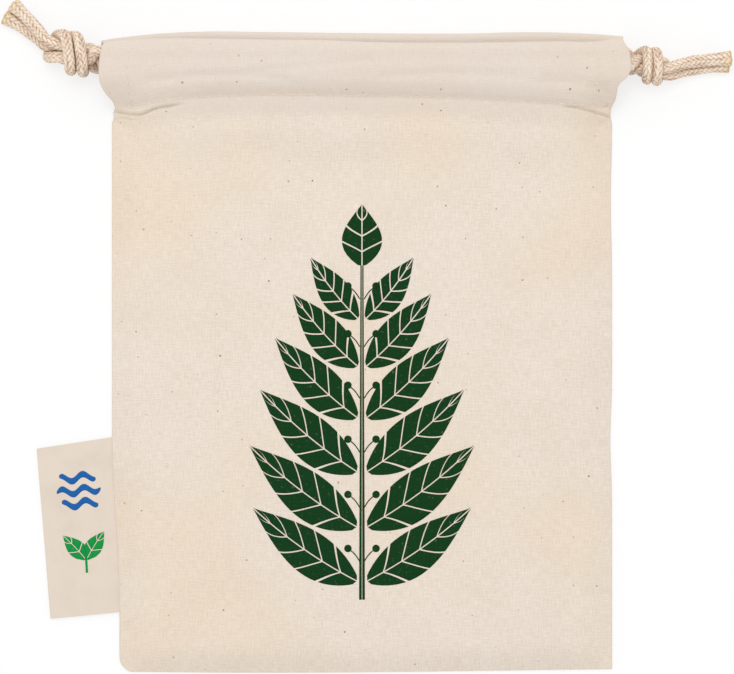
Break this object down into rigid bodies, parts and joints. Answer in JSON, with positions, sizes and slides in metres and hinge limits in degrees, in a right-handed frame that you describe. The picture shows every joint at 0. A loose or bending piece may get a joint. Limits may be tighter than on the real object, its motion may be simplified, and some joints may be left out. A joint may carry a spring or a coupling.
{
  "type": "drawstring bag",
  "caption": "Flat cotton bag with a fold at the bottom, a hemmed mouth, two cords that draw it shut from both sides, each with a doubled overhand knot, and a blank tape label in one side seam.",
  "frame": {"origin": "middle of the back panel's underside, on the surface that the bag lies on", "axes": "+X along the mouth towards the right as seen from the front, +Y from the bottom fold to the mouth, +Z out of the front, away from the surface"},
  "size_m": [0.2897, 0.2678, 0.0174],
  "materials": {
    "cotton": "unbleached plain-weave cotton with small dark seed specks",
    "label_tape": "smooth woven tape",
    "cord": "braided cotton cord"
  },
  "bodies": {
    "bag": {"front_panel": "cotton", "back_panel": "cotton", "left_side_seam": "cotton", "right_side_seam": "cotton", "front_casing": "cotton", "back_casing": "cotton"},
    "left_mouth_end": {"left_front_slit_hem": "cotton", "left_back_slit_hem": "cotton"},
    "right_mouth_end": {"right_front_slit_hem": "cotton", "right_back_slit_hem": "cotton"},
    "left_drawcord": {"left_cord_loop": "cord", "left_cord_front_end": "cord", "left_cord_back_end": "cord"},
    "right_drawcord": {"right_cord_loop": "cord", "right_cord_front_end": "cord", "right_cord_back_end": "cord"},
    "label": {"side_label": "label_tape"}
  },
  "joints": [
    {"name": "left_pull", "type": "slide", "parent": "bag", "child": "left_drawcord", "axis": [-1, 0, 0], "range_m": [0, 0.075]},
    {"name": "right_pull", "type": "slide", "parent": "bag", "child": "right_drawcord", "axis": [1, 0, 0], "range_m": [0, 0.075]},
    {"name": "right_mouth_gather", "type": "slide", "parent": "bag", "child": "right_mouth_end", "axis": [-1, 0, 0], "range_m": [0, 0.075], "deforming": ["front_casing", "back_casing"]},
    {"name": "left_mouth_gather", "type": "slide", "parent": "bag", "child": "left_mouth_end", "axis": [1, 0, 0], "range_m": [0, 0.075], "deforming": ["front_casing", "back_casing"]},
    {"name": "label_flip", "type": "hinge", "parent": "bag", "child": "label", "pos_m": [-0.0992, -0.0694, 0.0015], "axis": [-0.0428, 0.9991, 0], "range_deg": [0, 150]}
  ],
  "couplings": [
    {"joint": "right_mouth_gather", "follows": "left_pull", "ratio": 1},
    {"joint": "left_mouth_gather", "follows": "right_pull", "ratio": 1}
  ]
}
